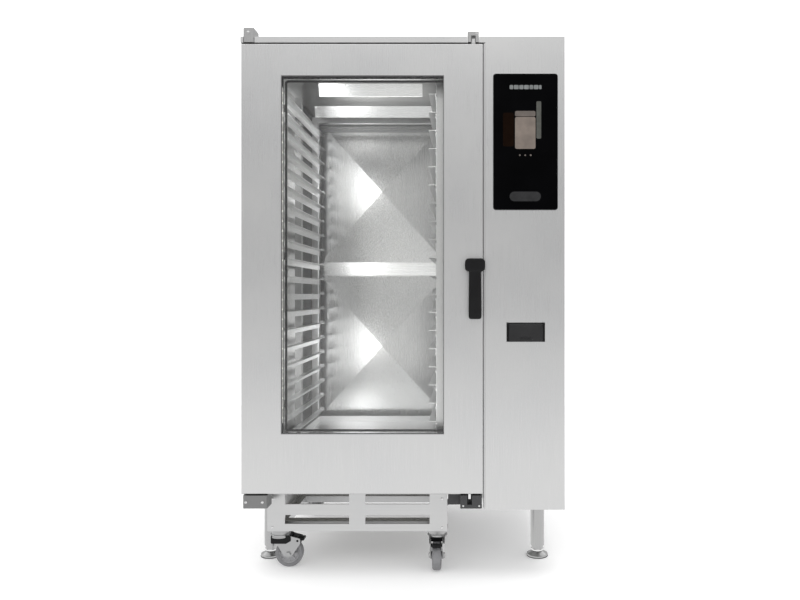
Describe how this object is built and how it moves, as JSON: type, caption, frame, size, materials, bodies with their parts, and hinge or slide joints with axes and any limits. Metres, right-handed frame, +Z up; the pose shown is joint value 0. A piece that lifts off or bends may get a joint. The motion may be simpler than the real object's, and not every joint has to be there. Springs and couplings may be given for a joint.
{
  "type": "combi steamer oven",
  "caption": "Tall floor-standing combi steamer oven with a full-height glass door, a control column on the right and a wheeled tray rack that rolls in under the door.",
  "frame": {"origin": "on the floor, under the middle of the whole object's box", "axes": "+Z up, the door faces -Y, +X to the right seen from the front"},
  "size_m": [1.08, 1, 1.85],
  "materials": {
    "casing_steel": "satin",
    "cavity_steel": "polished",
    "frame_steel": "satin",
    "bright_steel": "polished",
    "dark_metal": "satin",
    "motor_metal": "matte",
    "heater_metal": "matte",
    "window_glass": "gloss",
    "display_black": "gloss",
    "black_plastic": "satin",
    "black_rubber": "matte",
    "grey_tyre": "matte",
    "mineral_wool": "matte",
    "lamp_strip": "gloss",
    "circuit_board": "satin",
    "connector_grey": "satin"
  },
  "bodies": {
    "cabinet": {"base_frame": "frame_steel", "leg_tubes": "bright_steel", "levelling_feet": "bright_steel", "left_side_panel": "casing_steel", "right_side_panel": "casing_steel", "rear_panel": "casing_steel", "top_cover": "casing_steel", "column_base_plate": "frame_steel", "mouth_frame": "cavity_steel", "column_front_panel": "casing_steel", "cavity_liner": "cavity_steel", "cavity_back_wall": "cavity_steel", "air_baffle": "cavity_steel", "insulation": "mineral_wool", "door_gasket": "black_rubber", "hinge_brackets": "dark_metal", "lock_strikers": "dark_metal", "fan_motors": "motor_metal", "heating_elements": "heater_metal", "steam_generator": "frame_steel", "steam_pipe": "frame_steel", "drain_box": "frame_steel", "exhaust_vent": "frame_steel", "service_connections": "connector_grey", "display_glass": "display_black", "display_housing": "black_plastic", "control_electronics": "circuit_board", "socket_pocket": "black_plastic", "panel_screws": "bright_steel"},
    "door": {"door_outer_panel": "casing_steel", "door_inner_panel": "cavity_steel", "door_glass_outer": "window_glass", "door_glass_inner": "window_glass", "glass_seals": "black_rubber", "door_led_strips": "lamp_strip", "door_hinge_bushes": "frame_steel", "lock_case": "frame_steel"},
    "handle": {"handle_spindle": "frame_steel", "door_handle": "black_plastic"},
    "upper_lock_rod": {"lock_rod_upper": "bright_steel"},
    "lower_lock_rod": {"lock_rod_lower": "bright_steel"},
    "flap": {"socket_flap": "black_plastic"},
    "upper_fan": {"fan_wheel_upper": "cavity_steel"},
    "lower_fan": {"fan_wheel_lower": "cavity_steel"},
    "trolley": {"trolley_base": "frame_steel", "trolley_front_frame": "frame_steel", "trolley_seal_plate": "frame_steel", "trolley_drip_pan": "cavity_steel", "rack_uprights": "cavity_steel", "rack_runners": "cavity_steel"},
    "castor_front_left": {"castor_fork_front_left": "dark_metal"},
    "wheel_front_left": {"castor_wheel_front_left": "grey_tyre"},
    "castor_front_right": {"castor_fork_front_right": "dark_metal"},
    "wheel_front_right": {"castor_wheel_front_right": "grey_tyre"},
    "castor_rear_left": {"castor_fork_rear_left": "dark_metal"},
    "wheel_rear_left": {"castor_wheel_rear_left": "grey_tyre"},
    "castor_rear_right": {"castor_fork_rear_right": "dark_metal"},
    "wheel_rear_right": {"castor_wheel_rear_right": "grey_tyre"},
    "brake_front_left": {"castor_brake_front_left": "black_plastic"},
    "brake_front_right": {"castor_brake_front_right": "black_plastic"}
  },
  "joints": [
    {"name": "door_hinge", "type": "hinge", "parent": "cabinet", "child": "door", "pos_m": [-0.512, -0.415, 1], "axis": [0, 0, -1], "range_deg": [0, 180]},
    {"name": "handle_turn", "type": "hinge", "parent": "door", "child": "handle", "pos_m": [0.241, -0.46, 1.052], "axis": [0, 1, 0], "range_deg": [0, 90]},
    {"name": "upper_rod_slide", "type": "slide", "parent": "door", "child": "upper_lock_rod", "axis": [0, 0, -1], "range_m": [0, 0.019]},
    {"name": "lower_rod_slide", "type": "slide", "parent": "door", "child": "lower_lock_rod", "axis": [0, 0, 1], "range_m": [0, 0.019]},
    {"name": "socket_flap_hinge", "type": "hinge", "parent": "cabinet", "child": "flap", "pos_m": [0.41, -0.445, 0.851], "axis": [-1, 0, 0], "range_deg": [0, 110]},
    {"name": "upper_fan_spin", "type": "hinge", "parent": "cabinet", "child": "upper_fan", "pos_m": [0.21, 0, 1.405], "axis": [1, 0, 0], "continuous": true},
    {"name": "lower_fan_spin", "type": "hinge", "parent": "cabinet", "child": "lower_fan", "pos_m": [0.21, 0, 0.72], "axis": [1, 0, 0], "continuous": true},
    {"name": "trolley_roll", "type": "slide", "parent": "cabinet", "child": "trolley", "axis": [0, 1, 0], "range_m": [0, 0.012]},
    {"name": "swivel_front_left", "type": "hinge", "parent": "trolley", "child": "castor_front_left", "pos_m": [-0.44, -0.313, 0.12], "axis": [0, 0, 1], "continuous": true},
    {"name": "roll_front_left", "type": "hinge", "parent": "castor_front_left", "child": "wheel_front_left", "pos_m": [-0.408, -0.313, 0.048], "axis": [0, 1, 0], "continuous": true},
    {"name": "brake_pedal_front_left", "type": "hinge", "parent": "castor_front_left", "child": "brake_front_left", "pos_m": [-0.376, -0.313, 0.094], "axis": [0, 1, 0], "range_deg": [0, 14]},
    {"name": "swivel_front_right", "type": "hinge", "parent": "trolley", "child": "castor_front_right", "pos_m": [0.11, -0.313, 0.12], "axis": [0, 0, 1], "continuous": true},
    {"name": "roll_front_right", "type": "hinge", "parent": "castor_front_right", "child": "wheel_front_right", "pos_m": [0.11, -0.345, 0.048], "axis": [1, 0, 0], "continuous": true},
    {"name": "brake_pedal_front_right", "type": "hinge", "parent": "castor_front_right", "child": "brake_front_right", "pos_m": [0.11, -0.377, 0.094], "axis": [1, 0, 0], "range_deg": [0, 14]},
    {"name": "swivel_rear_left", "type": "hinge", "parent": "trolley", "child": "castor_rear_left", "pos_m": [-0.44, 0.235, 0.12], "axis": [0, 0, 1], "continuous": true},
    {"name": "roll_rear_left", "type": "hinge", "parent": "castor_rear_left", "child": "wheel_rear_left", "pos_m": [-0.44, 0.267, 0.048], "axis": [-1, 0, 0], "continuous": true},
    {"name": "swivel_rear_right", "type": "hinge", "parent": "trolley", "child": "castor_rear_right", "pos_m": [0.11, 0.235, 0.12], "axis": [0, 0, 1], "continuous": true},
    {"name": "roll_rear_right", "type": "hinge", "parent": "castor_rear_right", "child": "wheel_rear_right", "pos_m": [0.11, 0.267, 0.048], "axis": [-1, 0, 0], "continuous": true}
  ],
  "couplings": [
    {"joint": "upper_rod_slide", "follows": "handle_turn", "m_per_rad": 0.012},
    {"joint": "lower_rod_slide", "follows": "handle_turn", "m_per_rad": 0.012}
  ]
}
